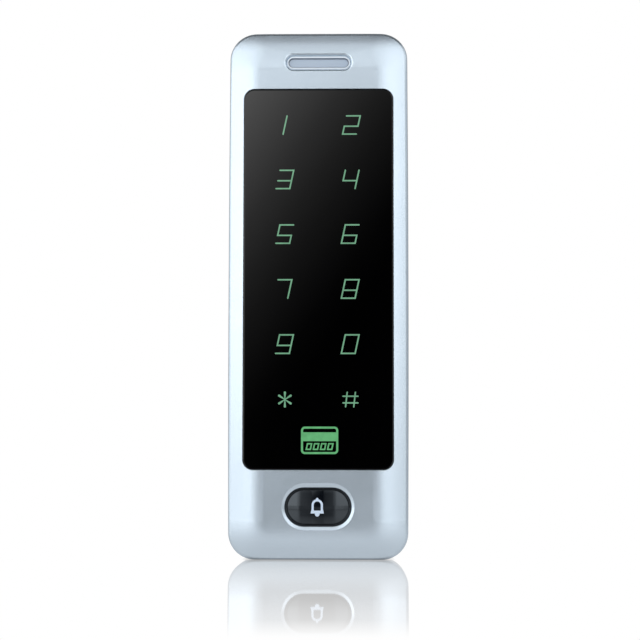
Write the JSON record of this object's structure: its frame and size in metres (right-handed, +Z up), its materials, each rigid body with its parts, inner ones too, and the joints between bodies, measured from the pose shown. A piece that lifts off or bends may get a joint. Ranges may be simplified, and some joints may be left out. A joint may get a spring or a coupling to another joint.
{
  "type": "keypad access reader",
  "caption": "Slim upright wall-mounted access reader with a dark backlit touch keypad, an indicator lens above it and a bell push button below it.",
  "frame": {"origin": "centre of the wall bracket's back face, on the wall plane, midway between the two wall screw holes", "axes": "+X to the right seen from the front, +Z up along the tall side, +Y into the wall; the front faces -Y"},
  "size_m": [0.06, 0.022, 0.176],
  "materials": {
    "satin_silver": "satin silver metallic lacquer on die-cast zinc",
    "black_glass": "polished dark glass",
    "black_tape": "matt adhesive foam tape",
    "black_film": "printed black film",
    "board_green": "green solder mask over laminate",
    "black_plastic": "fine moulded texture",
    "led_body": "white LED package",
    "enamelled_copper": "enamelled copper winding",
    "clear_plastic": "clear moulded plastic",
    "milky_plastic": "milky light guide",
    "gloss_black": "high gloss black",
    "white_plastic": "white moulded plastic",
    "silicone": "soft silicone",
    "tinned_steel": "tinned sheet steel",
    "spring_steel": "spring steel",
    "relay_plastic": "blue moulded lid",
    "component_tan": "ceramic",
    "can_aluminium": "plain aluminium can",
    "sensor_amber": "coated light sensor",
    "zinc_steel": "zinc plated",
    "black_steel": "black oxide",
    "black_rubber": "matt rubber",
    "stainless": "brushed stainless steel",
    "chip_black": "moulded epoxy package"
  },
  "bodies": {
    "root": {"antenna_coil": "enamelled_copper", "audio_driver": "chip_black", "backlight_leds": "led_body", "bell_button_bezel": "gloss_black", "bell_button_seal": "silicone", "bell_switch_body": "black_plastic", "bell_switch_cover": "tinned_steel", "bell_switch_dome": "spring_steel", "board_header": "black_plastic", "board_screws": "zinc_steel", "bracket_lug": "stainless", "buzzer": "black_plastic", "cable_connector": "white_plastic", "cable_grommet": "black_rubber", "cover_gasket": "silicone", "cover_screws": "black_steel", "crystal": "tinned_steel", "electrolytic_capacitors": "can_aluminium", "front_housing": "satin_silver", "indicator_diffuser": "milky_plastic", "indicator_lens": "clear_plastic", "inductor": "black_plastic", "legend_film": "black_film", "light_box": "black_plastic", "main_board": "board_green", "memory_chip": "chip_black", "microcontroller": "chip_black", "panel_tape": "black_tape", "protection_diodes": "chip_black", "reader_chip": "chip_black", "rear_cover": "black_plastic", "relay": "relay_plastic", "security_screw": "stainless", "smd_passives": "component_tan", "status_leds": "led_body", "tamper_sensor": "sensor_amber", "tamper_window": "clear_plastic", "touch_board": "board_green", "touch_controller": "chip_black", "touch_panel": "black_glass", "voltage_regulator": "chip_black", "wall_bracket": "stainless"},
    "bell_button": {"bell_button_cap": "gloss_black", "bell_button_symbol": "white_plastic"},
    "bell_plunger": {"bell_switch_plunger": "black_plastic"}
  },
  "joints": [
    {"name": "bell_press", "type": "slide", "parent": "root", "child": "bell_button", "axis": [0, 1, 0], "range_m": [0, 0.0006], "stiffness_N_per_m": 1000, "springref_m": -0.001, "deforming": ["bell_button_seal"]},
    {"name": "bell_switch_click", "type": "slide", "parent": "root", "child": "bell_plunger", "axis": [0, 1, 0], "range_m": [0, 0.00025], "deforming": ["bell_switch_dome"]}
  ],
  "couplings": [
    {"joint": "bell_switch_click", "follows": "bell_press", "ratio": 0.41667}
  ]
}
